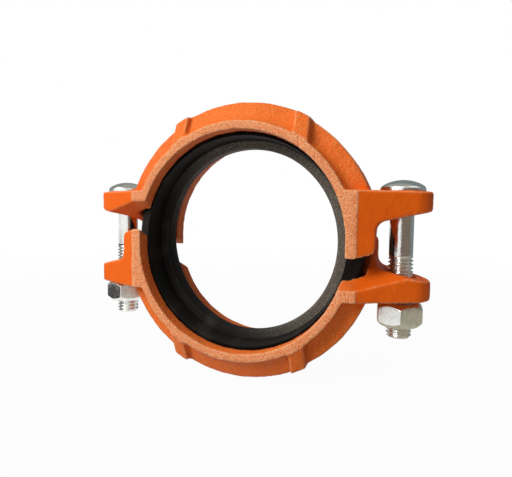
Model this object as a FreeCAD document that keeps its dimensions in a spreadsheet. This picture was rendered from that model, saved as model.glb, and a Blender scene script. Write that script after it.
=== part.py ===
import FreeCAD, Part
import Sketcher
import os

# Grooved pipe coupling for 114.3 mm pipe, in millimetres.
# The pipe runs along Y, the two bolts stand along Z, and the origin is the middle of the bore.
# It stands open, as it is slid over the pipe ends before the nuts are tightened.

# Driving dimensions: alias, value, meaning
SIZES = [
    ("pipe_radius", 57.15, "outside radius of the pipe"),
    ("key_clearance", 0.25, "room between the pipe and a key before tightening"),
    ("housing_width", 53.2, "width of a housing along the pipe"),
    ("key_width", 8.4, "width of the key that enters the pipe's groove"),
    ("face_width", 4.6, "width of the flat ring on each end face"),
    ("cavity_depth", 10.5, "depth of the gasket cavity behind the key"),
    ("cavity_shoulder", 2.2, "straight part of the cavity's side"),
    ("cavity_taper", 4.6, "how much the cavity narrows on each side"),
    ("cavity_round", 3.0, "corner radius in the cavity"),
    ("wall", 4.5, "wall over the gasket"),
    ("crown_width", 33.0, "width of the crown over the gasket"),
    ("cove_back", 18.6, "distance of the cove's back from the middle"),
    ("cove_draft", 0.7, "draft on the outside of the end ring"),
    ("cove_round", 4.8, "radius of the cove"),
    ("raised_rise", 1.0, "height of the raised middle above the crown"),
    ("raised_back", 22.6, "distance of the raised middle's cove from the middle"),
    ("raised_round", 7.0, "radius of the raised middle's cove"),
    ("raised_angle", 60.0, "angle of the raised middle"),
    ("rib_inner_lap", 1.0, "how far a rib reaches into the raised middle at the ring's edge"),
    ("rib_outer_lap", 1.1, "how far a rib reaches past the raised middle at its top"),
    ("rib_front", 20.5, "distance of a rib's top corner from the middle"),
    ("ring_offset", 1.9, "distance of each housing's centre from the middle of the bore"),
    ("mating_gap", 15.6, "gap between the mating faces"),
    ("mating_rise", 27.8, "rise of a mating face over the width"),
    ("leg_thickness", 13.9, "thickness of a leg, from the bore to its outer side"),
    ("leg_round", 2.4, "radius of a leg's corner at its mating face"),
    ("leg_fillet", 5.0, "radius between a leg and its pad"),
    ("pad_level", 27.8, "outer face of a pad from the middle of the bore"),
    ("pad_root", 16.0, "thickness of a pad at the leg"),
    ("pad_tip", 10.0, "thickness of a pad at its end"),
    ("pad_end_radius", 14.9, "radius of a pad's end about the bolt"),
    ("bolt_room", 12.1, "distance of a bolt from its leg's outer side"),
    ("bolt_length", 76.2, "length of a bolt under its head"),
    ("thread_length", 43.0, "length of the thread"),
    ("thread_radius", 6.35, "outside radius of the thread"),
    ("thread_end", 1.2, "chamfer at the end of the thread"),
    ("shank_radius", 6.05, "radius of the plain shank"),
    ("head_radius", 11.65, "radius of a bolt head"),
    ("head_height", 6.2, "height of a bolt head"),
    ("head_rim", 2.6, "straight rim of a bolt head"),
    ("neck_length", 8.0, "depth of the oval neck"),
    ("neck_play", 0.4, "room round the oval neck"),
    ("hole_length", 17.0, "length of the oval hole"),
    ("hole_width", 13.5, "width of the oval hole"),
    ("nut_flats", 22.2, "width of a nut across flats"),
    ("nut_height", 12.5, "height of a nut"),
    ("nut_face_radius", 9.7, "radius of the flat face at each end of a nut"),
    ("nut_chamfer", 2.8, "depth of the chamfer on a nut's corners"),
    ("nut_clearance", 0.07, "room between a nut and the thread"),
    ("nut_seat", 0.03, "gap between the left nut and its pad"),
    ("nut_slack", 1.7, "gap between the right nut and its pad, not yet run up"),
    ("closing_travel", 7.82, "how far the housings are drawn together"),
    ("gasket_side_gap", 0.3, "room between the gasket and a key"),
    ("gasket_radial_gap", 0.3, "room over the gasket when closed"),
    ("lip_squeeze", 0.85, "how far a sealing lip stands inside the pipe's radius"),
    ("lip_thickness", 2.0, "thickness of a sealing lip"),
    ("lip_bevel", 0.9, "bevel at the mouth of a lip"),
    ("leg_depth", 5.45, "how far the gasket's centre leg stands inside the pipe's radius"),
    ("leg_width", 7.4, "width of the gasket's centre leg"),
    ("leg_tip_round", 1.2, "corner radius of the centre leg"),
    ("slot_width", 1.5, "slot between a lip and the centre leg"),
    ("pocket_depth", 3.2, "depth of the hollow behind a lip"),
    ("pocket_end", 14.0, "end of the hollow from the middle"),
]

doc = FreeCAD.newDocument("coupling")
sheet = doc.addObject("Spreadsheet::Sheet", "Sizes")
for row, (alias, value, meaning) in enumerate(SIZES, start=1):
    sheet.set("A%d" % row, meaning)
    sheet.set("B%d" % row, str(value))
    sheet.setAlias("B%d" % row, alias)
doc.recompute()


def size(name):
    return "Sizes." + name


# Sizes worked out from the driving ones, in the housing's own frame: its ring's centre at the origin
KEY_RADIUS = "(Sizes.pipe_radius + Sizes.key_clearance)"
HALF_WIDTH = "(Sizes.housing_width / 2)"
FACE_RADIUS = "(%s + Sizes.face_width)" % KEY_RADIUS
CAVITY_HALF = "(%s - Sizes.key_width)" % HALF_WIDTH
CAVITY_RADIUS = "(%s + Sizes.cavity_depth)" % KEY_RADIUS
CROWN_RADIUS = "(%s + Sizes.wall)" % CAVITY_RADIUS
CROWN_HALF = "(Sizes.crown_width / 2)"
RAISED_RADIUS = "(%s + Sizes.raised_rise)" % CROWN_RADIUS
RIB_INSIDE = "(%s * sin(Sizes.raised_angle / 2) - Sizes.rib_inner_lap)" % FACE_RADIUS
RIB_OUTSIDE = "(%s * sin(Sizes.raised_angle / 2) + Sizes.rib_outer_lap)" % RAISED_RADIUS
LEG_OUTSIDE = "(%s + Sizes.leg_thickness)" % KEY_RADIUS
BOLT_OFFSET = "(%s + Sizes.bolt_room)" % LEG_OUTSIDE
PAD_FACE = "(Sizes.pad_level - Sizes.ring_offset)"
MATING_MIDDLE = "(Sizes.ring_offset - Sizes.mating_gap / 2)"
MATING_SLOPE = "(Sizes.mating_rise / Sizes.housing_width)"
PAD_END = "(%s + Sizes.pad_end_radius)" % BOLT_OFFSET
TOP = "(Sizes.mating_rise / 2 + Sizes.leg_fillet)"
# How far a cutting shape reaches past what it cuts
REACH = 5.0
THROUGH = "(Sizes.housing_width + %s)" % (2 * REACH)
# The same for a nut's chamfers, short enough that the two ends' outlines stay apart
NUT_REACH = 1.0
# How close a point must lie to a face to be on it
NEAR = 0.001


def new_body(label):
    body = doc.addObject("PartDesign::Body", label)
    body.Label = label
    return body


def new_sketch(body, role, name):
    plane = next(part for part in body.Origin.OriginFeatures if part.Role == role)
    sketch = body.newObject("Sketcher::SketchObject", body.Name + "_" + name)
    sketch.AttachmentSupport = [(plane, "")]
    sketch.MapMode = "FlatFace"
    return sketch


def number(sketch, expression):
    return float(sketch.evalExpression(str(expression)))


def bind(sketch, kind, args, expression):
    """Adds a dimension that follows an expression."""
    index = sketch.addConstraint(Sketcher.Constraint(kind, *args, number(sketch, expression)))
    sketch.setExpression("Constraints[%d]" % index, str(expression))


def place_point(sketch, curve, end, across, along):
    """Ties a point to its two distances from the sketch's origin."""
    bind(sketch, "DistanceX", (-1, 1, curve, end), across)
    bind(sketch, "DistanceY", (-1, 1, curve, end), along)


def vector(sketch, corner):
    return FreeCAD.Vector(number(sketch, corner[0]), number(sketch, corner[1]), 0)


def outline(sketch, corners):
    """Draws a closed outline through corners (across, along) or (across, along, radius)."""
    count = len(corners)
    spots = [vector(sketch, corner) for corner in corners]
    starts = list(spots)
    ends = list(spots)
    arcs = {}
    for index, corner in enumerate(corners):
        if len(corner) < 3:
            continue
        radius = number(sketch, corner[2])
        back = (spots[index - 1] - spots[index]).normalize()
        ahead = (spots[(index + 1) % count] - spots[index]).normalize()
        half = back.getAngle(ahead) / 2
        reach = radius / abs(FreeCAD.Vector(0, 0, 1).cross(back).dot((back + ahead).normalize()))
        reach = reach * FreeCAD.Vector(back).dot((back + ahead).normalize())
        middle = (back + ahead).normalize()
        ends[index] = spots[index] + back * reach
        starts[index] = spots[index] + ahead * reach
        centre = spots[index] + middle * (reach / max(1e-9, middle.dot(back)))
        through = centre - middle * radius
        arcs[index] = (ends[index], through, starts[index])
    lines = []
    for index in range(count):
        after = (index + 1) % count
        lines.append(sketch.addGeometry(Part.LineSegment(starts[index], ends[after]), False))
    for index, corner in enumerate(corners):
        before = lines[index - 1]
        following = lines[index]
        if index in arcs:
            arc = sketch.addGeometry(Part.Arc(*arcs[index]), False)
            point = sketch.addGeometry(Part.Point(spots[index]), True)
            place_point(sketch, point, 1, corner[0], corner[1])
            sketch.addConstraint(Sketcher.Constraint("PointOnObject", point, 1, before))
            sketch.addConstraint(Sketcher.Constraint("PointOnObject", point, 1, following))
            for line, end in ((before, 2), (following, 1)):
                spot = sketch.getPoint(line, end)
                near = 1 if sketch.getPoint(arc, 1).distanceToPoint(spot) < 1e-4 else 2
                sketch.addConstraint(Sketcher.Constraint("Tangent", line, end, arc, near))
            bind(sketch, "Radius", (arc,), corner[2])
        else:
            sketch.addConstraint(Sketcher.Constraint("Coincident", before, 2, following, 1))
            place_point(sketch, following, 1, corner[0], corner[1])


def circle(sketch, across, along, radius):
    spot = vector(sketch, (across, along))
    curve = sketch.addGeometry(Part.Circle(spot, FreeCAD.Vector(0, 0, 1), number(sketch, radius)), False)
    place_point(sketch, curve, 3, across, along)
    bind(sketch, "Radius", (curve,), radius)


def slot(sketch, across, length, width):
    """Draws an oval of two straight sides and two round ends, long across the sketch."""
    middle = number(sketch, across)
    half = (number(sketch, length) - number(sketch, width)) / 2
    radius = number(sketch, width) / 2
    top = Part.LineSegment(FreeCAD.Vector(middle - half, radius, 0), FreeCAD.Vector(middle + half, radius, 0))
    low = Part.LineSegment(FreeCAD.Vector(middle + half, -radius, 0), FreeCAD.Vector(middle - half, -radius, 0))
    right = Part.Arc(FreeCAD.Vector(middle + half, -radius, 0), FreeCAD.Vector(middle + half + radius, 0, 0),
                     FreeCAD.Vector(middle + half, radius, 0))
    left = Part.Arc(FreeCAD.Vector(middle - half, radius, 0), FreeCAD.Vector(middle - half - radius, 0, 0),
                    FreeCAD.Vector(middle - half, -radius, 0))
    top = sketch.addGeometry(top, False)
    low = sketch.addGeometry(low, False)
    right = sketch.addGeometry(right, False)
    left = sketch.addGeometry(left, False)
    for line, arc, arc_end, line_end in ((top, right, 2, 2), (low, right, 1, 1), (low, left, 2, 2), (top, left, 1, 1)):
        sketch.addConstraint(Sketcher.Constraint("Tangent", line, line_end, arc, arc_end))
    bind(sketch, "Radius", (right,), "%s / 2" % width)
    place_point(sketch, right, 3, "%s + (%s - %s) / 2" % (across, length, width), "0")
    place_point(sketch, left, 3, "%s - (%s - %s) / 2" % (across, length, width), "0")


def mirrored(corners):
    """Repeats a profile's corners on the other side of the sketch's across axis."""
    other = [(corner[0], "-(%s)" % corner[1]) + tuple(corner[2:]) for corner in reversed(corners)]
    return list(corners) + other


def feature(body, kind, name, sketch, **settings):
    """Adds a feature made from a sketch; a setting given as text is an expression."""
    item = body.newObject("PartDesign::" + kind, body.Name + "_" + name)
    item.Profile = sketch
    for key, value in settings.items():
        if isinstance(value, str) and value.startswith("="):
            item.setExpression(key, value[1:])
        else:
            setattr(item, key, value)
    sketch.Visibility = False
    doc.recompute()
    return item


def volume(body):
    return body.Shape.Volume if not body.Shape.isNull() else 0.0


def cut(body, kind, name, sketch, **settings):
    """Adds a feature that takes material away and stops if it takes none."""
    before = volume(body)
    item = feature(body, kind, name, sketch, **settings)
    if volume(body) > before - 1.0:
        raise RuntimeError(item.Name + " cuts nothing")
    return item


def edges_where(body, test):
    """Names the edges whose ends and middle all pass a test."""
    names = []
    for index, edge in enumerate(body.Shape.Edges, start=1):
        first, last = edge.ParameterRange
        if all(test(edge.valueAt(spot)) for spot in (first, (first + last) / 2, last)):
            names.append("Edge%d" % index)
    return names


# Housing: one casting, used twice, with its ring below its own origin
def make_housing(label):
    body = new_body(label)

    # Ribs across the coves, upright on both sides of the raised middle
    ribs = new_sketch(body, "XY_Plane", "rib_plan")
    for side in ("", "-"):
        inner = side + RIB_INSIDE
        outer = side + RIB_OUTSIDE
        outline(ribs, mirrored([(inner, HALF_WIDTH), (outer, HALF_WIDTH)]))
    feature(body, "Pad", "ribs", ribs, Reversed=True, Length="=%s + %s" % (RAISED_RADIUS, REACH))
    outside = new_sketch(body, "XY_Plane", "rib_trim")
    trim = [("%s + %s" % (RAISED_RADIUS, 4 * REACH), "%s + %s" % (HALF_WIDTH, REACH)),
            (FACE_RADIUS, "%s + %s" % (HALF_WIDTH, REACH)),
            (FACE_RADIUS, HALF_WIDTH),
            (RAISED_RADIUS, size("rib_front"))]
    outline(outside, mirrored(trim))
    cut(body, "Groove", "rib_ends", outside, ReferenceAxis=(outside, ["V_Axis"]), Angle=360)

    # Ring with a cove on each side of the crown
    inside = "(%s - %s)" % (KEY_RADIUS, REACH)
    ring = new_sketch(body, "XY_Plane", "ring_profile")
    profile = [(inside, HALF_WIDTH),
               (FACE_RADIUS, HALF_WIDTH),
               ("%s + Sizes.cove_draft" % FACE_RADIUS, size("cove_back"), size("cove_round")),
               (CROWN_RADIUS, CROWN_HALF)]
    outline(ring, mirrored(profile))
    feature(body, "Revolution", "ring", ring, ReferenceAxis=(ring, ["V_Axis"]), Angle=360)

    # Raised middle between the ribs, with a shallower cove
    raised = new_sketch(body, "YZ_Plane", "raised_profile")
    profile = [(HALF_WIDTH, "-" + inside),
               (HALF_WIDTH, "-" + FACE_RADIUS),
               (size("raised_back"), "-(%s + Sizes.cove_draft)" % FACE_RADIUS, size("raised_round")),
               (CROWN_HALF, "-" + RAISED_RADIUS)]
    other = [("-(%s)" % corner[0],) + tuple(corner[1:]) for corner in reversed(profile)]
    outline(raised, profile + other)
    feature(body, "Revolution", "raised", raised, ReferenceAxis=(raised, ["H_Axis"]), Midplane=True,
            Angle="=Sizes.raised_angle")

    # Pads and legs: one plan with slanted sides and round ends about the bolts
    plan = new_sketch(body, "XY_Plane", "pad_plan")
    pad_outline(plan)
    feature(body, "Pad", "pads", plan, SideType="Two sides", Length="=Sizes.mating_rise / 2", Length2="=" + PAD_FACE)

    # Room for the bolt above each pad, down to a face that thins towards the pad's end
    above = new_sketch(body, "XZ_Plane", "above_pads")
    for side in ("", "-"):
        room = [(side + LEG_OUTSIDE, TOP),
                (side + LEG_OUTSIDE, "Sizes.pad_root - " + PAD_FACE, size("leg_fillet")),
                (side + PAD_END, "Sizes.pad_tip - " + PAD_FACE),
                ("%s(%s + %s)" % (side, PAD_END, REACH), "Sizes.pad_tip - " + PAD_FACE),
                ("%s(%s + %s)" % (side, PAD_END, REACH), TOP)]
        outline(above, room)
    cut(body, "Pocket", "above_pads", above, SideType="Symmetric", Length="=" + THROUGH)

    # Bore: round below the ring's centre and straight above it
    bore = new_sketch(body, "XZ_Plane", "bore")
    circle(bore, "0", "0", KEY_RADIUS)
    cut(body, "Pocket", "bore", bore, SideType="Symmetric", Length="=" + THROUGH)
    sides = new_sketch(body, "XZ_Plane", "bore_sides")
    outline(sides, [(KEY_RADIUS, "0"), (KEY_RADIUS, TOP), ("-" + KEY_RADIUS, TOP), ("-" + KEY_RADIUS, "0")])
    cut(body, "Pocket", "bore_sides", sides, SideType="Symmetric", Length="=" + THROUGH)

    # Gasket cavity between the two keys, round below and straight above
    shoulder = "(%s + Sizes.cavity_shoulder)" % KEY_RADIUS
    narrow = "(%s - Sizes.cavity_taper)" % CAVITY_HALF
    cavity = new_sketch(body, "XY_Plane", "cavity")
    profile = [(inside, CAVITY_HALF), (shoulder, CAVITY_HALF), (CAVITY_RADIUS, narrow, size("cavity_round"))]
    outline(cavity, mirrored(profile))
    cut(body, "Groove", "cavity", cavity, ReferenceAxis=(cavity, ["V_Axis"]), Angle=360)
    straight = new_sketch(body, "XY_Plane", "cavity_sides")
    right = mirrored(profile[1:])
    left = [("-" + corner[0],) + tuple(corner[1:]) for corner in reversed(right)]
    outline(straight, right + left)
    cut(body, "Pocket", "cavity_sides", straight, Reversed=True, Length="=" + TOP)

    # Mating faces: one slopes up towards the back on the right, the other towards the front on the left
    edge = "(%s + %s)" % (HALF_WIDTH, REACH)
    for side, slope, turned in (("right", "", True), ("left", "-", False)):
        mating = new_sketch(body, "YZ_Plane", side + "_mating")
        rise = "%s * %s" % (MATING_SLOPE, edge)
        front = "%s - %s(%s)" % (MATING_MIDDLE, slope, rise)
        back = "%s + %s(%s)" % (MATING_MIDDLE, slope, rise)
        high = "%s + %s" % (RAISED_RADIUS, 2 * REACH)
        outline(mating, [("-" + edge, front), (edge, back), (edge, high), ("-" + edge, high)])
        cut(body, "Pocket", side + "_mating", mating, Reversed=turned, Length="=%s + %s" % (PAD_END, REACH))

    # Rounded corners where a leg's outer side meets its mating face
    outer = number(mating, LEG_OUTSIDE)
    middle = number(mating, MATING_MIDDLE)
    slope = number(mating, MATING_SLOPE)
    corners = edges_where(body, lambda spot: abs(abs(spot.x) - outer) < NEAR
                          and abs(spot.z - middle - slope * spot.y * (1 if spot.x > 0 else -1)) < NEAR)
    if len(corners) != 2:
        raise RuntimeError("%s has %d leg corners to round" % (label, len(corners)))
    square = body.Tip
    rounded = body.newObject("PartDesign::Fillet", body.Name + "_leg_corners")
    rounded.Base = (square, corners)
    rounded.setExpression("Radius", size("leg_round"))
    doc.recompute()

    # Oval holes for the bolts' necks
    holes = new_sketch(body, "XY_Plane", "bolt_holes")
    for side in ("", "-"):
        slot(holes, side + BOLT_OFFSET, size("hole_length"), size("hole_width"))
    cut(body, "Pocket", "bolt_holes", holes, SideType="Symmetric", Length="=2 * (%s + %s)" % (PAD_FACE, REACH))
    return body


def pad_outline(sketch):
    """Draws the plan: end faces, slanted sides that touch the round ends, and the ends themselves."""
    bolt = number(sketch, BOLT_OFFSET)
    radius = number(sketch, size("pad_end_radius"))
    corner_x = number(sketch, FACE_RADIUS)
    corner_y = number(sketch, HALF_WIDTH)
    apart = FreeCAD.Vector(corner_x - bolt, corner_y, 0)
    # The tangent point from the corner to the round end
    turn = FreeCAD.Vector(radius * radius / apart.Length, 0, 0)
    rise = radius * (1 - (radius / apart.Length) ** 2) ** 0.5
    away = FreeCAD.Vector(apart).normalize()
    square = FreeCAD.Vector(away.y, -away.x, 0)
    touch = FreeCAD.Vector(bolt, 0, 0) + away * turn.x + square * rise
    corners = {}
    lines = {}
    for side in (1, -1):
        for face in (1, -1):
            start = FreeCAD.Vector(side * corner_x, face * corner_y, 0)
            end = FreeCAD.Vector(side * touch.x, face * touch.y, 0)
            line = sketch.addGeometry(Part.LineSegment(start, end), False)
            lines[(side, face)] = line
            across = FACE_RADIUS if side > 0 else "-" + FACE_RADIUS
            along = HALF_WIDTH if face > 0 else "-" + HALF_WIDTH
            place_point(sketch, line, 1, across, along)
            corners[(side, face)] = start
    for face in (1, -1):
        flat = sketch.addGeometry(Part.LineSegment(corners[(-1, face)], corners[(1, face)]), False)
        sketch.addConstraint(Sketcher.Constraint("Coincident", flat, 1, lines[(-1, face)], 1))
        sketch.addConstraint(Sketcher.Constraint("Coincident", flat, 2, lines[(1, face)], 1))
    for side in (1, -1):
        low = FreeCAD.Vector(side * touch.x, -touch.y, 0)
        tip = FreeCAD.Vector(side * (bolt + radius), 0, 0)
        high = FreeCAD.Vector(side * touch.x, touch.y, 0)
        arc = sketch.addGeometry(Part.Arc(low, tip, high), False)
        for face in (1, -1):
            line = lines[(side, face)]
            spot = sketch.getPoint(line, 2)
            near = 1 if sketch.getPoint(arc, 1).distanceToPoint(spot) < 1e-4 else 2
            sketch.addConstraint(Sketcher.Constraint("Tangent", line, 2, arc, near))
        centre = BOLT_OFFSET if side > 0 else "-" + BOLT_OFFSET
        place_point(sketch, arc, 3, centre, "0")
        bind(sketch, "Radius", (arc,), size("pad_end_radius"))


# Gasket: two sealing lips with a hollow behind each, and a centre leg that the pipe ends meet
def make_gasket():
    body = new_body("gasket")
    side = "(%s - Sizes.gasket_side_gap)" % CAVITY_HALF
    leg = "(Sizes.leg_width / 2)"
    shift = "(Sizes.closing_travel / 2 - Sizes.ring_offset + Sizes.gasket_radial_gap)"
    slot_end = "(%s + Sizes.slot_width)" % leg
    leg_radius = "(Sizes.pipe_radius - Sizes.leg_depth)"
    lip_radius = "(Sizes.pipe_radius - Sizes.lip_squeeze)"
    lip_back = "(%s + Sizes.lip_thickness)" % lip_radius
    pocket = "(%s + Sizes.pocket_depth)" % lip_back
    profile = [(leg_radius, leg, size("leg_tip_round")),
               (pocket, leg),
               (pocket, "Sizes.pocket_end - Sizes.pocket_depth"),
               (lip_back, size("pocket_end")),
               (lip_back, slot_end),
               (lip_radius, slot_end),
               (lip_radius, "%s - Sizes.lip_bevel" % side),
               ("%s + Sizes.lip_bevel" % lip_radius, side),
               ("%s + Sizes.cavity_shoulder - %s" % (KEY_RADIUS, shift), side),
               ("%s - %s" % (CAVITY_RADIUS, shift), "%s - Sizes.cavity_taper" % side, size("cavity_round"))]
    section = new_sketch(body, "XY_Plane", "section")
    outline(section, mirrored(profile))
    feature(body, "Revolution", "ring", section, ReferenceAxis=(section, ["V_Axis"]), Angle=360)
    return body


# Bolt: round head, oval neck that keeps it from turning, plain shank and thread, head's seat at its origin
def make_bolt(label):
    body = new_body(label)
    profile = new_sketch(body, "XZ_Plane", "profile")
    top = number(profile, size("head_height"))
    rim = number(profile, size("head_rim"))
    wide = number(profile, size("head_radius"))
    dome = (wide ** 2 + (top - rim) ** 2) / (2 * (top - rim))
    slope = FreeCAD.Vector(wide / 2, top - dome + (dome ** 2 - wide ** 2 / 4) ** 0.5, 0)
    arc = Part.Arc(FreeCAD.Vector(wide, rim, 0), slope, FreeCAD.Vector(0, top, 0))
    arc = profile.addGeometry(arc, False)
    thread_start = "(Sizes.thread_length - Sizes.bolt_length)"
    step = "(Sizes.thread_radius - Sizes.shank_radius)"
    corners = [("0", size("head_height")),
               ("0", "-Sizes.bolt_length"),
               ("Sizes.thread_radius - Sizes.thread_end", "-Sizes.bolt_length"),
               (size("thread_radius"), "Sizes.thread_end - Sizes.bolt_length"),
               (size("thread_radius"), "%s - %s" % (thread_start, step)),
               (size("shank_radius"), thread_start),
               (size("shank_radius"), "0"),
               (size("head_radius"), "0"),
               (size("head_radius"), size("head_rim"))]
    lines = []
    for start, end in zip(corners, corners[1:]):
        line = Part.LineSegment(vector(profile, start), vector(profile, end))
        lines.append(profile.addGeometry(line, False))
    for before, after in zip(lines, lines[1:]):
        profile.addConstraint(Sketcher.Constraint("Coincident", before, 2, after, 1))
    for line, corner in zip(lines, corners):
        place_point(profile, line, 1, *corner)
    place_point(profile, lines[-1], 2, *corners[-1])
    rim_end, crown_end = (1, 2) if profile.getPoint(arc, 1).x > profile.getPoint(arc, 2).x else (2, 1)
    profile.addConstraint(Sketcher.Constraint("Coincident", arc, rim_end, lines[-1], 2))
    profile.addConstraint(Sketcher.Constraint("Coincident", arc, crown_end, lines[0], 1))
    profile.addConstraint(Sketcher.Constraint("PointOnObject", arc, 3, -2))
    feature(body, "Revolution", "turned", profile, ReferenceAxis=(profile, ["V_Axis"]), Angle=360)
    neck = new_sketch(body, "XY_Plane", "neck")
    slot(neck, "0", "(Sizes.hole_length - 2 * Sizes.neck_play)", "(Sizes.hole_width - 2 * Sizes.neck_play)")
    feature(body, "Pad", "neck", neck, Reversed=True, Length="=Sizes.neck_length")
    return body


# Heavy hexagon nut with chamfered corners, its seat at its origin
def make_nut(label):
    body = new_body(label)
    hexagon = new_sketch(body, "XY_Plane", "hexagon")
    across = "(Sizes.nut_flats / sqrt(3))"
    spots = []
    for turn in range(6):
        direction = FreeCAD.Rotation(FreeCAD.Vector(0, 0, 1), 60 * turn).multVec(FreeCAD.Vector(1, 0, 0))
        spots.append(direction * number(hexagon, across))
    rim = hexagon.addGeometry(Part.Circle(FreeCAD.Vector(), FreeCAD.Vector(0, 0, 1), number(hexagon, across)), True)
    hexagon.addConstraint(Sketcher.Constraint("Coincident", rim, 3, -1, 1))
    bind(hexagon, "Radius", (rim,), across)
    sides = []
    for turn in range(6):
        sides.append(hexagon.addGeometry(Part.LineSegment(spots[turn], spots[(turn + 1) % 6]), False))
    for turn in range(6):
        hexagon.addConstraint(Sketcher.Constraint("Coincident", sides[turn - 1], 2, sides[turn], 1))
        hexagon.addConstraint(Sketcher.Constraint("PointOnObject", sides[turn], 1, rim))
        if turn:
            hexagon.addConstraint(Sketcher.Constraint("Equal", sides[0], sides[turn]))
    hexagon.addConstraint(Sketcher.Constraint("PointOnObject", sides[0], 1, -1))
    circle(hexagon, "0", "0", "Sizes.thread_radius + Sizes.nut_clearance")
    feature(body, "Pad", "hexagon", hexagon, Reversed=True, Length="=Sizes.nut_height")
    corners = new_sketch(body, "XZ_Plane", "corner_chamfers")
    beyond = "(%s + %s)" % (across, NUT_REACH)
    face = size("nut_face_radius")
    fall = "((%s - %s) * Sizes.nut_chamfer / (%s - %s))" % (beyond, face, across, face)
    outline(corners, [(face, "0"), (beyond, "-" + fall), (beyond, "0")])
    low = "-Sizes.nut_height"
    outline(corners, [(face, low), (beyond, low), (beyond, "%s + %s" % (low, fall))])
    cut(body, "Groove", "corners", corners, ReferenceAxis=(corners, ["V_Axis"]), Angle=360)
    return body


def place(body, across="0", height="0", turn=None):
    """Puts a sub-part in the coupling's frame; turn is an axis and an angle."""
    if turn:
        body.Placement.Rotation = FreeCAD.Rotation(*turn)
    body.setExpression("Placement.Base.x", across)
    body.setExpression("Placement.Base.z", height)


upright = FreeCAD.Vector(0, 0, 1)
along_pipe = FreeCAD.Vector(0, 1, 0)
lower_housing = make_housing("lower_housing")
place(lower_housing, height="-Sizes.ring_offset")
upper_housing = make_housing("upper_housing")
place(upper_housing, height="Sizes.ring_offset", turn=(along_pipe, 180))
gasket = make_gasket()
sub_parts = [lower_housing, upper_housing, gasket]
# Each nut stopped at its own turn and height when it was run up by hand
for side, sign, nut_gap, nut_turn in (("left", "-", "nut_seat", 43), ("right", "", "nut_slack", 34)):
    bolt = make_bolt(side + "_bolt")
    place(bolt, sign + BOLT_OFFSET, size("pad_level"))
    nut = make_nut(side + "_nut")
    place(nut, sign + BOLT_OFFSET, "-Sizes.pad_level - " + size(nut_gap), (upright, nut_turn))
    sub_parts += [bolt, nut]
doc.recompute()

# Nothing is written unless every object is sound
for item in doc.Objects:
    if "Invalid" in item.State or "Error" in item.State:
        raise RuntimeError("%s failed: %s" % (item.Name, item.State))
for body in sub_parts:
    if body.Shape.isNull() or not body.Shape.isValid() or len(body.Shape.Solids) != 1:
        raise RuntimeError(body.Label + " is not one sound solid")

os.makedirs("parts", exist_ok=True)
for body in sub_parts:
    body.Shape.exportStep("parts/%s.step" % body.Label)
    box = body.Shape.BoundBox
    print("%-14s volume %9.1f mm3  x %.2f..%.2f  y %.2f..%.2f  z %.2f..%.2f" % (
        body.Label, body.Shape.Volume, box.XMin, box.XMax, box.YMin, box.YMax, box.ZMin, box.ZMax))
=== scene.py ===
import math
import bpy
import numpy as np
from mathutils import Matrix, Vector


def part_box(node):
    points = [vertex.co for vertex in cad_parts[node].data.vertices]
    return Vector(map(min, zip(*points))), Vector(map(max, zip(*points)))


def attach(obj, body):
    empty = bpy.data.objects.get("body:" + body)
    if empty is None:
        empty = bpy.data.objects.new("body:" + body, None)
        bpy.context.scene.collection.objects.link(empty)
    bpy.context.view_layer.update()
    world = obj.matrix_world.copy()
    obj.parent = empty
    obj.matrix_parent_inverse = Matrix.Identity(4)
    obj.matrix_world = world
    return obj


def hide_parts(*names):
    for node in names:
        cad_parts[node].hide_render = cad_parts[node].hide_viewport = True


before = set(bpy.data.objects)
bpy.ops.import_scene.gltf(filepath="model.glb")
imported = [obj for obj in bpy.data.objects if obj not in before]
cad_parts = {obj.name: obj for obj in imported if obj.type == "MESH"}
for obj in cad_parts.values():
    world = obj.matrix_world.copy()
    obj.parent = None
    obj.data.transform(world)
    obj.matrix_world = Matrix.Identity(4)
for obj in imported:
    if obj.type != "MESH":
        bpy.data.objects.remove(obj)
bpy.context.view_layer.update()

# A grooved pipe coupling, standing open with its nuts run up by hand.
# Metres, +Z up along the bolts, the pipe along Y, the origin in the middle of the bore.

mm = 0.001
inch = 0.0254
# the gasket lies against the front keys, this far from the middle of the width
gasketMiddle = -0.75 * mm


# Shader maths: a signal wraps one output socket, and sums, differences and products add Math nodes
class Signal:
    def __init__(self, tree, socket=None):
        self.tree = tree
        self.socket = socket

    def add(self, kind, settings, inputs, output=0):
        # adds a node of any kind: its settings first, then the values or links of its sockets
        node = self.tree.nodes.new(kind)
        for name, value in settings.items():
            setattr(node, name, value)
        for name, value in inputs.items():
            if isinstance(value, Signal):
                self.tree.links.new(value.socket, node.inputs[name])
            else:
                node.inputs[name].default_value = value
        # a material's output node ends the chain, so it gives no socket
        return Signal(self.tree, node.outputs[output] if len(node.outputs) else None)

    def math(self, operation, first, second=0.0):
        return self.add("ShaderNodeMath", {"operation": operation}, {0: first, 1: second})

    def magnitude(self):
        return self.math("ABSOLUTE", self)

    def clamped(self):
        return self.add("ShaderNodeMath", {"operation": "ADD", "use_clamp": True}, {0: self, 1: 0.0})

    def __add__(self, other):
        return self.math("ADD", self, other)

    def __sub__(self, other):
        return self.math("SUBTRACT", self, other)

    def __mul__(self, other):
        return self.math("MULTIPLY", self, other)

    def __rsub__(self, other):
        return self.math("SUBTRACT", other, self)

    __radd__ = __add__
    __rmul__ = __mul__


def newFinish(name):
    # a material with a Principled shader, and the piece's own coordinates
    material = bpy.data.materials.new(name)
    material.use_nodes = True
    coords = Signal(material.node_tree).add("ShaderNodeTexCoord", {}, {}, "Object")
    return material, material.node_tree.nodes["Principled BSDF"], coords


def feed(shader, **signals):
    for name, signal in signals.items():
        signal.tree.links.new(signal.socket, shader.inputs[name.replace("_", " ")])


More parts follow.
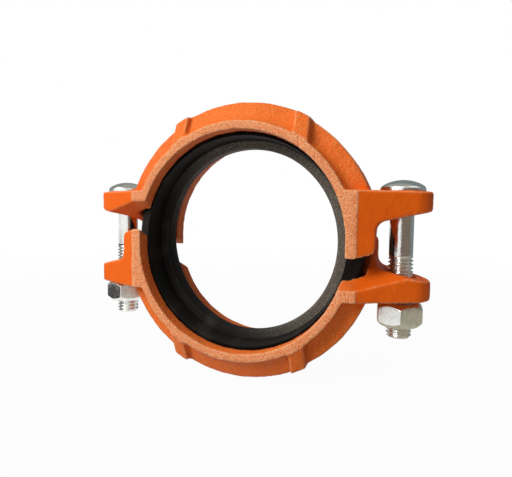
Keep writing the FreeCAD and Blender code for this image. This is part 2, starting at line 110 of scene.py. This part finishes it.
def noise(coords, scale, detail=2.0, roughness=0.5):
    # smooth noise from 0 to 1, with patches about 1 / scale metres across
    values = {"Vector": coords, "Scale": scale, "Detail": detail, "Roughness": roughness}
    return coords.add("ShaderNodeTexNoise", {"noise_dimensions": "3D"}, values, "Fac")


def stretched(coords, scales):
    # the same coordinates, drawn out along the axes with a small scale
    return coords.add("ShaderNodeMapping", {}, {"Vector": coords, "Scale": scales})


def axisOf(coords, axis):
    return coords.add("ShaderNodeSeparateXYZ", {}, {"Vector": coords}, axis)


def between(signal, low, high):
    # 0 below low, 1 above high, smooth in between
    values = {"Value": signal, "From Min": low, "From Max": high}
    return signal.add("ShaderNodeMapRange", {"interpolation_type": "SMOOTHSTEP"}, values)


def mixColour(factor, first, second):
    # first where the factor is 0, second where it is 1
    return factor.add("ShaderNodeMix", {"data_type": "RGBA"}, {0: factor, 6: first, 7: second}, 2)


def bump(height, distance, strength=1.0, over=None):
    values = {"Height": height, "Distance": distance, "Strength": strength}
    if over is not None:
        values["Normal"] = over
    return height.add("ShaderNodeBump", {}, values)


# Enamel over a sand-cast surface, coarsest on the flat ring faces at both ends
paint = {
    "orange": (0.88, 0.125, 0.001, 1.0),
    "deep": (0.66, 0.072, 0.002, 1.0),
    "pale": (0.88, 0.35, 0.10, 1.0),
    # a pale colour for the painted sheen on the ring's end faces and the painted highlight on edges
    "paintedSheen": (1.0, 0.53, 0.26, 1.0),
    "pit": (0.42, 0.050, 0.001, 1.0),
    "grainScale": 1500.0,
    "gritScale": 1050.0,
    "sandScale": 620.0,
    "peelScale": 260.0,
    "broadScale": 38.0,
    # the distances over which a zone fades in, and the noise levels over which a colour does
    "faceZone": (25.9 * mm, 26.35 * mm),
    "padZone": (59 * mm, 65 * mm),
    "padTop": (29 * mm, 34 * mm),
    "hollowLevels": (0.36, 0.56),
    "crestLevels": (0.47, 0.63),
    "paintedSheenLevels": (0.43, 0.57),
    "pitLevels": (0.34, 0.45),
    "broadLevels": (0.45, 0.75),
    "glossLevels": (0.3, 0.8),
    # pointiness levels for the painted edge highlight and the painted corner shade
    "edgeHighlightBend": (0.515, 0.56),
    "cornerShadeBend": (0.44, 0.495),
    # how much of each is mixed in
    "padSmooth": 0.85,
    "hollowShare": 0.16,
    "hollowOnFace": 0.08,
    "crestLeast": 0.15,
    "crestShare": 0.46,
    "paintedSheenLeast": 0.27,
    "paintedSheenShare": 0.62,
    "pitShare": 0.14,
    "pitOnFace": 0.30,
    "broadShare": 0.20,
    "edgeLightAndShadeShare": 0.55,
    # height and strength of each bump, and how much of the grain shows where
    "peelBump": (0.30 * mm, 0.4),
    "sandBump": (0.60 * mm, 0.9),
    "grainBump": (0.60 * mm, 0.95),
    "grainLeast": 0.12,
    "grainOnFace": 0.62,
    "grainOnSand": 0.36,
    "gloss": (0.34, 0.52),
    "padGloss": 0.10,
    "shine": 0.14,
}


def makePaint():
    p = paint
    material, shader, coords = newFinish("orangeEnamel")
    across, away, up = (axisOf(coords, axis).magnitude() for axis in "XYZ")
    face = between(away, *p["faceZone"])
    # the legs and pads are smooth, the ring keeps the sand's grain
    pad = between(across, *p["padZone"]) * (1 - between(up, *p["padTop"]))
    sandy = 1 - pad * p["padSmooth"]
    peel = noise(coords, p["peelScale"], 2.0)
    sand = noise(coords, p["sandScale"], 3.0, 0.6)
    grain = noise(coords, p["grainScale"], 3.0, 0.6)
    grit = noise(coords, p["gritScale"], 2.0, 0.6)
    broad = noise(coords, p["broadScale"], 3.0)
    hollow = (1 - between(sand, *p["hollowLevels"])) * (face * p["hollowOnFace"] + p["hollowShare"]) * sandy
    colour = mixColour(hollow.clamped(), p["orange"], p["deep"])
    crest = (between(grain, *p["crestLevels"]) * p["crestShare"] + p["crestLeast"]) * (1 - face) * sandy
    colour = mixColour(crest, colour, p["pale"])
    # the ring's end faces are painted paler, most on the grain's crests, as a painted sheen
    paintedSheen = (between(grain, *p["paintedSheenLevels"]) * p["paintedSheenShare"] + p["paintedSheenLeast"]) * face
    colour = mixColour(paintedSheen, colour, p["paintedSheen"])
    pit = (1 - between(grit, *p["pitLevels"])) * (face * p["pitOnFace"] + p["pitShare"]) * sandy
    colour = mixColour(pit, colour, p["pit"])
    colour = mixColour(between(broad, *p["broadLevels"]) * p["broadShare"], colour, p["deep"])
    # edges are painted paler as a painted highlight, and inner corners darker as painted shade
    bend = coords.add("ShaderNodeNewGeometry", {}, {}, "Pointiness")
    colour = mixColour(between(bend, *p["edgeHighlightBend"]) * p["edgeLightAndShadeShare"], colour, p["paintedSheen"])
    colour = mixColour((1 - between(bend, *p["cornerShadeBend"])) * p["edgeLightAndShadeShare"], colour, p["pit"])
    low, high = p["gloss"]
    roughness = between(grain, *p["glossLevels"]) * (high - low) + low + pad * p["padGloss"]
    rough = bump(peel, *p["peelBump"])
    rough = bump(sand * sandy, *p["sandBump"], rough)
    height = grain * (face * p["grainOnFace"] + sandy * p["grainOnSand"] + p["grainLeast"])
    feed(shader, Base_Color=colour, Roughness=roughness, Normal=bump(height, *p["grainBump"], rough))
    shader.inputs["Specular IOR Level"].default_value = p["shine"]
    return material


# Moulded rubber
rubber = {
    "black": (0.013, 0.012, 0.011, 1.0),
    # a dusty grey, which also stands for painted light on the lit side of the centre leg
    "dustAndLight": (0.22, 0.19, 0.15, 1.0),
    "grainScale": 1300.0,
    "grainBump": (0.05 * mm, 0.6),
    "smearScale": 70.0,
    "smearStretch": (1.0, 0.25, 1.0),
    # half the leg's width, and where its dust and painted light begin and are full on the way up to the
    # right
    "legZone": (4.35 * mm, 4.7 * mm),
    "litSideZone": (-45 * mm, 25 * mm),
    "litSideRise": 0.6,
    "dustLevels": (0.40, 0.65),
    "dustAndLightLeast": 0.35,
    "dustAndLightShare": 0.50,
    "smearLevels": (0.48, 0.80),
    "smearShare": 0.15,
    "glossLevels": (0.3, 0.8),
    "gloss": (0.42, 0.60),
    "shine": 0.06,
}


def makeRubber():
    r = rubber
    material, shader, coords = newFinish("mouldedRubber")
    grain = noise(coords, r["grainScale"], 3.0)
    smear = noise(stretched(coords, r["smearStretch"]), r["smearScale"], 4.0, 0.6)
    # the centre leg carries dust specks with painted light, paler at the top and the right where the light
    # falls; the rest of it and the lips stay black
    across, away, up = (axisOf(coords, axis) for axis in "XYZ")
    leg = 1 - between((away - gasketMiddle).magnitude(), *r["legZone"])
    side = between(across + up * r["litSideRise"], *r["litSideZone"])
    dustyAndLit = (between(grain, *r["dustLevels"]) * r["dustAndLightShare"] + r["dustAndLightLeast"]) * leg * side
    dustyAndLit = dustyAndLit + between(smear, *r["smearLevels"]) * r["smearShare"]
    colour = mixColour(dustyAndLit.clamped(), r["black"], r["dustAndLight"])
    low, high = r["gloss"]
    roughness = between(smear, *r["glossLevels"]) * (high - low) + low
    feed(shader, Base_Color=colour, Roughness=roughness, Normal=bump(grain, *r["grainBump"]))
    shader.inputs["Specular IOR Level"].default_value = r["shine"]
    return material


# Bright zinc plate on forged steel
zinc = {
    "plate": (0.88, 0.88, 0.85, 1.0),
    "shade": (0.60, 0.61, 0.60, 1.0),
    "cream": (0.90, 0.86, 0.75, 1.0),
    "drawnScale": 420.0,
    "fineScale": 1700.0,
    "patchScale": 160.0,
    "shadeLevels": (0.42, 0.70),
    "shadeShare": 0.45,
    "creamLevels": (0.50, 0.75),
    "creamShare": 0.5,
    "glossLevels": (0.3, 0.75),
    "dentBump": (0.12 * mm, 0.55),
    "scratchBump": (0.16 * mm, 0.7),
    "drawnHeight": 0.6,
    "fineHeight": 0.4,
    "boltStreaks": 0.5,
    "boltGloss": (0.14, 0.22),
    "nutStreaks": 0.55,
    "nutGloss": (0.22, 0.34),
}


def makeZinc(name, streaks, gloss):
    # a small number for streaks draws the pattern out along the bolt; gloss is the least and most roughness
    z = zinc
    material, shader, coords = newFinish(name)
    along = stretched(coords, (1.0, 1.0, streaks))
    drawn = noise(along, z["drawnScale"], 4.0, 0.6)
    fine = noise(along, z["fineScale"], 2.0)
    patches = noise(coords, z["patchScale"], 3.0, 0.55)
    colour = mixColour(between(drawn, *z["shadeLevels"]) * z["shadeShare"], z["plate"], z["shade"])
    colour = mixColour(between(patches, *z["creamLevels"]) * z["creamShare"], colour, z["cream"])
    low, high = gloss
    roughness = between(patches, *z["glossLevels"]) * (high - low) + low
    dents = bump(patches, *z["dentBump"])
    scratches = drawn * z["drawnHeight"] + fine * z["fineHeight"]
    feed(shader, Base_Color=colour, Roughness=roughness, Normal=bump(scratches, *z["scratchBump"], dents))
    shader.inputs["Metallic"].default_value = 1.0
    return material


orangeEnamel = makePaint()
mouldedRubber = makeRubber()
zincBolt = makeZinc("zincBolt", zinc["boltStreaks"], zinc["boltGloss"])
zincNut = makeZinc("zincNut", zinc["nutStreaks"], zinc["nutGloss"])
print("finishes made")


def surface(name, points, finish, poles=()):
    # points is rows x columns x 3: the columns close on themselves, and so do the rows,
    # unless two poles close them
    rows, columns = points.shape[:2]
    index = np.arange(rows * columns).reshape(rows, columns)
    nextColumn = np.roll(index, -1, axis=1)
    nextRow = np.roll(index, -1, axis=0)
    nextBoth = np.roll(nextColumn, -1, axis=0)
    quads = np.stack([index, nextColumn, nextBoth, nextRow], axis=-1)
    spots = points.reshape(-1, 3)
    faces = quads.reshape(-1, 4).tolist()
    if len(poles):
        faces = quads[:-1].reshape(-1, 4).tolist()
        first = np.full(columns, rows * columns)
        last = first + 1
        faces += np.stack([first, nextColumn[0], index[0]], axis=-1).tolist()
        faces += np.stack([last, index[-1], nextColumn[-1]], axis=-1).tolist()
        spots = np.vstack([spots, np.array(poles)])
    mesh = bpy.data.meshes.new(name)
    mesh.from_pydata(spots, [], faces)
    mesh.shade_smooth()
    mesh.materials.append(finish)
    piece = bpy.data.objects.new(name, mesh)
    bpy.context.scene.collection.objects.link(piece)
    return piece


def rounded(corners, steps=6):
    # a closed outline through (across, along, radius) corners: each corner with a radius becomes an arc
    spots = np.array([corner[:2] for corner in corners], float)
    outline = []
    for number, corner in enumerate(corners):
        here = spots[number]
        back = spots[number - 1] - here
        ahead = spots[(number + 1) % len(corners)] - here
        back = back / np.linalg.norm(back)
        ahead = ahead / np.linalg.norm(ahead)
        radius = corner[2]
        if radius == 0:
            outline.append(here[None])
            continue
        half = math.acos(np.clip(back @ ahead, -1, 1)) / 2
        middle = (back + ahead) / np.linalg.norm(back + ahead)
        centre = here + middle * radius / math.sin(half)
        first = here + back * radius / math.tan(half) - centre
        last = here + ahead * radius / math.tan(half) - centre
        share = np.linspace(0, 1, steps)[:, None]
        turn = math.pi - 2 * half
        # equal steps of angle between the two tangent points
        arc = (np.sin((1 - share) * turn) * first + np.sin(share * turn) * last) / math.sin(turn)
        outline.append(centre + arc)
    return np.vstack(outline)


def refined(outline, longest):
    # the same closed outline with no step longer than the given one
    after = np.roll(outline, -1, axis=0)
    lengths = np.linalg.norm(after - outline, axis=1)
    counts = np.maximum(1, np.ceil(lengths / longest).astype(int))
    starts = np.repeat(outline, counts, axis=0)
    ends = np.repeat(after, counts, axis=0)
    order = np.arange(counts.sum()) - np.repeat(np.cumsum(counts) - counts, counts)
    share = (order / np.repeat(counts, counts))[:, None]
    return starts + (ends - starts) * share


def waves(points, length, seed, count=24, spread=(0.7, 1.5)):
    # a sum of sines in random directions, from about -1 to 1, its waves near the given length
    rng = np.random.default_rng(seed)
    directions = rng.normal(size=(count, 3))
    directions /= np.linalg.norm(directions, axis=1)[:, None]
    numbers = 2 * math.pi / (length * rng.uniform(*spread, count))
    phases = rng.uniform(0, 2 * math.pi, count)
    return np.sin(points @ (directions * numbers[:, None]).T + phases).sum(axis=1) / math.sqrt(count)


# Housings: the castings' own shape with every edge rounded as sand leaves it
casting = {
    "weld": 0.001 * mm,
    "grid": 0.80 * mm,
    "softening": 4,
    "softenFactor": 0.5,
    "unevenness": 0.07 * mm,
    "unevenLength": 9 * mm,
    "roughness": 0.035 * mm,
    "roughLength": 3.2 * mm,
}


def makeCasting(node, name, body, seed):
    piece = bpy.data.objects.new(name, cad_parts[node].data.copy())
    bpy.context.scene.collection.objects.link(piece)
    weld = piece.modifiers.new("weld", "WELD")
    weld.merge_threshold = casting["weld"]
    remesh = piece.modifiers.new("grid", "REMESH")
    remesh.mode = "VOXEL"
    remesh.voxel_size = casting["grid"]
    soften = piece.modifiers.new("soften", "SMOOTH")
    soften.factor = casting["softenFactor"]
    soften.iterations = casting["softening"]
    bpy.context.view_layer.update()
    evaluated = piece.evaluated_get(bpy.context.evaluated_depsgraph_get())
    mesh = bpy.data.meshes.new_from_object(evaluated)
    piece.modifiers.clear()
    piece.data = mesh
    count = len(mesh.vertices)
    spots = np.empty(count * 3)
    mesh.vertices.foreach_get("co", spots)
    normals = np.empty(count * 3)
    mesh.vertices.foreach_get("normal", normals)
    spots = spots.reshape(-1, 3)
    normals = normals.reshape(-1, 3)
    # each point moves along its normal by two sums of waves
    height = waves(spots, casting["unevenLength"], seed) * casting["unevenness"]
    height += waves(spots, casting["roughLength"], seed + 1) * casting["roughness"]
    spots = spots + normals * height[:, None]
    low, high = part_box(node)
    spots = np.clip(spots, np.array(low), np.array(high))
    mesh.vertices.foreach_set("co", spots.ravel())
    mesh.materials.clear()
    mesh.materials.append(orangeEnamel)
    mesh.shade_smooth()
    mesh.update()
    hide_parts(node)
    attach(piece, body)
    print(name, "has", len(mesh.polygons), "faces")


makeCasting("lower_housing", "lower_casting", "lower", 11)
makeCasting("upper_housing", "upper_casting", "upper", 23)
print("castings made")


# Gasket: a profile carried round the pipe's axis
gasket = {
    # half of the profile in millimetres: across from the axis, along from the middle, corner radius
    "profile": [
        (51.65, 3.7, 1.1),  # inner edge of the centre leg
        (57.8, 4.3, 0.0),  # its root
        (61.2, 4.3, 0.6),  # floor of the hollow, leg side
        (61.2, 9.85, 1.0),  # floor of the hollow, lip side
        (58.6, 12.85, 0.5),  # root of the lip
        (58.4, 5.4, 0.5),  # back of the lip's edge
        (56.45, 4.8, 0.4),  # the lip's edge
        (57.5, 17.15, 0.25),  # end of the gasket, beside the key
        (65.59, 12.45, 2.8),  # outside
    ],
    "longestStep": 1.2,
    "lip": 56.6,
    "oval": 0.75,
    "turns": 288,
}


def makeGasket():
    g = gasket
    half = g["profile"]
    other = [(across, -along, radius) for across, along, radius in reversed(half)]
    outline = refined(rounded(half + other), g["longestStep"]) * mm
    turn = np.linspace(0, 2 * math.pi, g["turns"], endpoint=False)
    radius = np.broadcast_to(outline[:, 0][:, None], (len(outline), g["turns"]))
    # the centre leg sags a little to an oval, taller than it is wide, and the outside stays round
    lip = g["lip"] * mm
    leg = half[0][0] * mm
    inward = np.clip((lip - radius) / (lip - leg), 0, 1)
    radius = radius - g["oval"] * mm * np.cos(2 * turn) * inward
    along = np.broadcast_to(outline[:, 1][:, None] + gasketMiddle, radius.shape)
    points = np.stack([radius * np.cos(turn), along, radius * np.sin(turn)], axis=-1)
    piece = surface("rubber_gasket", points, mouldedRubber)
    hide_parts("gasket")
    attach(piece, "seal")


makeGasket()
print("gasket made")


# Bolts and nuts share one thread
thread = {
    "pitch": 1000 * inch / 13,
    "outside": 6.35,
    "flankShare": 5 / 16,
    "crestShare": 1 / 16,
    "play": 0.09,
    "rounding": 0.04,
    "turns": 120,
    "step": 0.13,
}


def threadRadius(height, turn):
    # a 60 degree ridge wound right-handed: flat crest, straight flanks, flat root
    phase = height / thread["pitch"] - turn / (2 * math.pi)
    apart = np.abs(phase - np.round(phase))
    fall = np.clip((apart - thread["crestShare"]) / thread["flankShare"], 0, 1)
    depth = thread["flankShare"] * thread["pitch"] * math.sqrt(3)
    # rounded a little at the crest and the root
    fall = fall - np.sin(2 * math.pi * fall) * thread["rounding"]
    return thread["outside"] - depth * fall


def smoothLess(first, second, soft):
    # the lesser of two, with a rounded corner of the given size
    gap = first - second
    return (first + second - np.sqrt(gap * gap + soft * soft)) / 2


bolt = {
    "across": 83.4,
    "seat": 27.8,
    "length": 76.2,
    "threadLength": 43.0,
    "shank": 6.05,
    "headRadius": 11.65,
    "headHeight": 6.2,
    "rim": 2.6,
    "rimRound": 0.45,
    "rimSoft": 1.5,
    "rimRoom": 0.01,
    "capStart": 0.02,
    "capSteps": 40,
    "rimSteps": 6,
    "neckLength": 8.0,
    "neckHalfLong": 8.1,
    "neckHalfWide": 6.35,
    "neckBevel": 0.6,
    "neckEnd": 0.96,
    "joint": 0.1,
    "shankSteps": 40,
    "endChamfer": 1.2,
    "endSoft": 0.12,
    "endRound": 0.35,
}


def makeBolt(name, node, side):
    b = bolt
    turn = np.linspace(0, 2 * math.pi, thread["turns"], endpoint=False)[None]
    # head: a ball's cap that runs into a straight rim with a soft corner, its lower edge rounded
    crown = b["headHeight"] - b["rim"]
    ball = (b["headRadius"] ** 2 + crown ** 2) / (2 * crown)
    limit = math.acos(1 - (b["headHeight"] - b["rimRound"] - b["joint"]) / ball)
    swing = np.linspace(b["capStart"], 1, b["capSteps"]) * limit
    capRadius = smoothLess(ball * np.sin(swing), b["headRadius"] + b["rimRoom"], b["rimSoft"])
    capHeight = b["headHeight"] - ball + ball * np.cos(swing)
    edge = np.linspace(0, math.pi / 2, b["rimSteps"])
    low = b["rimRound"] * (1 - np.sin(edge))
    lowRadius = capRadius[-1] - b["rimRound"] * (1 - np.cos(edge))
    headHeights = np.concatenate([capHeight, low])
    headRadii = np.concatenate([capRadius, lowRadius])
    # neck: an oval of two straight sides and two round ends
    shift = b["neckHalfLong"] - b["neckHalfWide"]
    flat = b["neckHalfWide"] / np.maximum(np.abs(np.sin(turn)), 1e-6)
    roundEnd = shift * np.abs(np.cos(turn)) + np.sqrt(b["neckHalfWide"] ** 2 - (shift * np.sin(turn)) ** 2)
    oval = np.where(flat * np.abs(np.cos(turn)) <= shift, flat, roundEnd)
    neckHeights = np.array([0.0, -b["joint"], b["neckBevel"] - b["neckLength"], -b["neckLength"]])
    neckScale = np.array([1.0, 1.0, 1.0, b["neckEnd"]])
    # shank, then the thread, which rises out of it over one turn, down to a chamfered end
    start = b["threadLength"] - b["length"]
    shankHeights = np.linspace(-b["neckLength"] - b["joint"], start, b["shankSteps"])
    threadHeights = np.arange(start - thread["step"], -b["length"], -thread["step"])
    world = threadHeights[:, None] + b["seat"]
    wound = threadRadius(world, turn)
    grown = np.clip((start - threadHeights[:, None]) / thread["pitch"], 0, 1)
    wound = b["shank"] + (wound - b["shank"]) * grown
    cone = thread["outside"] - b["endChamfer"] + threadHeights[:, None] + b["length"]
    wound = smoothLess(wound, cone, b["endSoft"])
    heights = np.concatenate([headHeights, neckHeights, shankHeights, threadHeights, [-b["length"]]])
    shankRadii = np.full(len(shankHeights), b["shank"])
    radii = np.vstack([headRadii[:, None] + 0 * turn,
                       neckScale[:, None] * oval,
                       shankRadii[:, None] + 0 * turn,
                       wound,
                       np.full_like(turn, wound[-1].min() - b["endRound"])])
    points = np.stack([side * b["across"] + radii * np.cos(turn),
                       radii * np.sin(turn),
                       b["seat"] + heights[:, None] + 0 * radii], axis=-1)[::-1] * mm
    middle = side * b["across"] * mm
    poles = [(middle, 0, (b["seat"] - b["length"]) * mm), (middle, 0, (b["seat"] + b["headHeight"]) * mm)]
    piece = surface(name, points, zincBolt, poles)
    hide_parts(node)
    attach(piece, "upper")


for side, word in ((-1, "left"), (1, "right")):
    makeBolt(word + "_track_bolt", word + "_bolt", side)
print("bolts made")


nut = {
    "flats": 22.2,
    "height": 12.5,
    "seatGap": {"left": 0.03, "right": 1.7},
    "faceRadius": 9.7,
    "chamfer": 2.8,
    "soft": 0.22,
    "edgeRound": 0.7,
    "mouth": 0.9,
    "mouthSlope": 1.2,
    "mouthSoft": 0.1,
    "turned": {"left": 43.0, "right": 34.0},
    "steps": 60,
    "endZone": 3.0,
    "endSteps": 40,
    "middleSteps": 12,
}


def makeNut(name, node, side, word):
    n = nut
    sixth = math.pi / 6
    # the samples round a sixth crowd towards its two corners
    share = np.linspace(-1, 1, n["steps"], endpoint=False)
    facing = sixth * np.sin(share * math.pi / 2)
    start = math.radians(n["turned"][word]) + sixth
    turn = (start + facing + 2 * sixth * np.arange(6)[:, None]).reshape(1, -1)
    top = -bolt["seat"] - n["seatGap"][word]
    bottom = top - n["height"]
    # outside: a hexagon with round edges, cut by a cone at each end
    flat = n["flats"] / 2
    middle = (flat - n["edgeRound"]) / math.cos(sixth)
    fromCorner = sixth - np.abs(facing)
    onEdge = math.atan2(n["edgeRound"] * math.sin(sixth), middle + n["edgeRound"] * math.cos(sixth))
    bend = np.sqrt(np.maximum(n["edgeRound"] ** 2 - (middle * np.sin(fromCorner)) ** 2, 0))
    hexagon = np.where(fromCorner < onEdge, middle * np.cos(fromCorner) + bend, flat / np.cos(facing))
    hexagon = np.tile(hexagon, 6)[None]
    lower = bottom + n["endZone"]
    upper = top - n["endZone"]
    sideHeights = np.concatenate([np.linspace(bottom, lower, n["endSteps"]),
                                  np.linspace(lower, upper, n["middleSteps"])[1:-1],
                                  np.linspace(upper, top, n["endSteps"])])[:, None]
    growth = (flat / math.cos(sixth) - n["faceRadius"]) / n["chamfer"]
    under = n["faceRadius"] + (sideHeights - bottom) * growth
    over = n["faceRadius"] + (top - sideHeights) * growth
    outside = smoothLess(smoothLess(hexagon, under, n["soft"]), over, n["soft"])
    # inside: the thread, opened by a cone at each end
    boreHeights = np.arange(top, bottom, -thread["step"])[:, None]
    bore = threadRadius(boreHeights, turn) + thread["play"]
    depth = np.minimum(top - boreHeights, boreHeights - bottom)
    mouth = thread["outside"] + n["mouth"] - depth * n["mouthSlope"]
    bore = -smoothLess(-bore, -mouth, n["mouthSoft"])
    heights = np.vstack([sideHeights, boreHeights])
    radii = np.vstack([outside, bore])
    points = np.stack([side * bolt["across"] + radii * np.cos(turn),
                       radii * np.sin(turn),
                       heights + 0 * radii], axis=-1) * mm
    piece = surface(name, points, zincNut)
    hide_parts(node)
    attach(piece, node)


for side, word in ((-1, "left"), (1, "right")):
    makeNut(word + "_hex_nut", word + "_nut", side, word)
print("nuts made")


# Floor, light and camera
studio = {
    "floor": -75.4 * mm,
    "floorSize": 8.0,
    "floorWhite": 0.965,
    "floorGrey": 0.45,
    "fadeStart": 0.25,
    "fadeEnd": 0.9,
    "worldLight": 0.17,
    "keyPlace": (-0.60, -1.00, 0.74),
    "keySize": 0.60,
    "keyPower": 14.9,
    "topPlace": (-0.10, -0.10, 0.74),
    "topSize": 0.5,
    "topPower": 1.5,
    "fillPlace": (0.05, -1.20, -0.04),
    "fillSize": 0.5,
    "fillPower": 1.4,
    "rearPlace": (-0.50, 1.00, 0.60),
    "rearSize": 0.6,
    "rearPower": 6.0,
}

# Cards that only mirrors see, as grey boards stand round a bright part: three corners and a colour each
cards = {
    "camera_side": ((0.061, -0.25, -0.20), (0.45, 0.02, -0.20), (0.061, -0.25, 0.14),
                    (0.19, 0.15, 0.12)),
    "back": ((0.62, 0.02, -0.07), (-0.50, 0.90, -0.07), (0.62, 0.02, 0.80),
             (0.20, 0.235, 0.24)),
    "above": ((-0.50, 0.90, 0.80), (0.62, 0.02, 0.80), (-0.70, -0.10, 0.95),
              (0.36, 0.37, 0.34)),
    "left": ((-1.00, -0.40, 0.05), (-0.50, 0.90, 0.05), (-1.00, -0.40, 1.00),
             (0.26, 0.28, 0.25)),
    # a dark board at the floor's level on the left, a painted shadow that only mirrors see
    "left_floor_shadow": ((-0.90, -0.50, -0.074), (-0.14, -0.50, -0.074), (-0.90, 0.35, -0.074),
                   (0.04, 0.037, 0.037)),
    "right_table": ((0.03, -0.40, -0.074), (0.60, -0.40, -0.074), (0.03, 0.30, -0.074),
                    (0.44, 0.41, 0.32)),
}


def newStageFinish(name):
    # a material without nodes, and a signal to add the first ones from
    material = bpy.data.materials.new(name)
    material.use_nodes = True
    material.node_tree.nodes.clear()
    return material, Signal(material.node_tree)


def board(name, corners, material):
    # a flat sheet through four corners
    mesh = bpy.data.meshes.new(name)
    mesh.from_pydata(corners, [], [(0, 1, 2, 3)])
    mesh.materials.append(material)
    piece = bpy.data.objects.new(name, mesh)
    bpy.context.scene.collection.objects.link(piece)
    return piece


def looked(start):
    # 1 for the rays that show the background, straight, mirrored or through glass, and 0 for the rest
    names = ("Is Camera Ray", "Is Glossy Ray", "Is Transmission Ray")
    straight, mirrored, through = (start.add("ShaderNodeLightPath", {}, {}, name) for name in names)
    return (straight + mirrored + through).clamped()


def makeFloor():
    material, start = newStageFinish("paleFloor")
    grey = studio["floorGrey"]
    matt = start.add("ShaderNodeBsdfDiffuse", {}, {"Color": (grey, grey, grey, 1.0)}, "BSDF")
    white = (1.0, 1.0, 1.0, 1.0)
    glow = start.add("ShaderNodeEmission", {}, {"Color": white}, "Emission")
    # the floor turns to plain white with the distance from the coupling, so no horizon shows
    coords = start.add("ShaderNodeTexCoord", {}, {}, "Object")
    distance = coords.add("ShaderNodeVectorMath", {"operation": "LENGTH"}, {0: coords}, "Value")
    far = between(distance, studio["fadeStart"], studio["fadeEnd"])
    share = looked(start) * (far * (1 - studio["floorWhite"]) + studio["floorWhite"])
    mixed = start.add("ShaderNodeMixShader", {}, {0: share, 1: matt, 2: glow})
    start.add("ShaderNodeOutputMaterial", {}, {"Surface": mixed})
    size = studio["floorSize"]
    height = studio["floor"]
    corners = [(-size, -size, height), (size, -size, height), (size, size, height), (-size, size, height)]
    floor = board("floor", corners, material)


def makeWorld():
    world = bpy.data.worlds.new("studio")
    bpy.context.scene.world = world
    world.use_nodes = True
    background = world.node_tree.nodes["Background"]
    background.inputs["Color"].default_value = (1.0, 1.0, 1.0, 1.0)
    least = studio["worldLight"]
    feed(background, Strength=looked(Signal(world.node_tree)) * (1 - least) + least)


def makeCard(name, first, second, third, colour):
    # a flat board through three corners and the fourth that completes them, seen only in mirrors
    material, start = newStageFinish(name)
    glow = start.add("ShaderNodeEmission", {}, {"Color": (*colour, 1.0)}, "Emission")
    start.add("ShaderNodeOutputMaterial", {}, {"Surface": glow})
    fourth = Vector(second) + Vector(third) - Vector(first)
    card = board(name, [first, second, fourth, third], material)
    card.visible_camera = False
    card.visible_diffuse = False
    card.visible_shadow = False
    card.visible_transmission = False
    card.visible_volume_scatter = False


def makeLamp(name, place, size, power):
    light = bpy.data.lights.new(name, "AREA")
    light.shape = "SQUARE"
    light.size = size
    light.energy = power
    lamp = bpy.data.objects.new(name, light)
    towards = Vector((0, 0, 0)) - Vector(place)
    lamp.matrix_world = Matrix.Translation(place) @ towards.to_track_quat("-Z", "Y").to_matrix().to_4x4()
    lamp.visible_glossy = name == "key"
    bpy.context.scene.collection.objects.link(lamp)


# The camera stands a little to the right and looks back to the left
camera = {
    "place": (81.22 * mm, -237.67 * mm, 15.91 * mm),
    "yaw": -18.147,
    "pitch": -3.395,
    "roll": 0.789,
    "focalPixels": 430.70,
    "pictureWidth": 512,
    "sensor": 36.0,
    "nearest": 0.01,
    "farthest": 50.0,
}


def makeCamera():
    c = camera
    yaw, pitch, roll = (math.radians(c[name]) for name in ("yaw", "pitch", "roll"))
    ahead = Vector((math.sin(yaw) * math.cos(pitch), math.cos(yaw) * math.cos(pitch), math.sin(pitch)))
    level = Vector((math.cos(yaw), -math.sin(yaw), 0))
    above = level.cross(ahead)
    right = level * math.cos(roll) + above * math.sin(roll)
    up = above * math.cos(roll) - level * math.sin(roll)
    data = bpy.data.cameras.new("camera")
    data.sensor_width = c["sensor"]
    data.sensor_fit = "HORIZONTAL"
    data.lens = c["focalPixels"] * c["sensor"] / c["pictureWidth"]
    data.clip_start = c["nearest"]
    data.clip_end = c["farthest"]
    eye = bpy.data.objects.new("camera", data)
    turned = Matrix((right, up, -ahead)).transposed().to_4x4()
    eye.matrix_world = Matrix.Translation(c["place"]) @ turned
    bpy.context.scene.collection.objects.link(eye)
    bpy.context.scene.camera = eye


makeFloor()
makeWorld()
for name, (first, second, third, colour) in cards.items():
    makeCard(name + "_card", first, second, third, colour)
for lamp in ("key", "top", "fill", "rear"):
    makeLamp(lamp, studio[lamp + "Place"], studio[lamp + "Size"], studio[lamp + "Power"])
makeCamera()
bpy.context.scene.view_settings.view_transform = "Standard"
print("studio made")
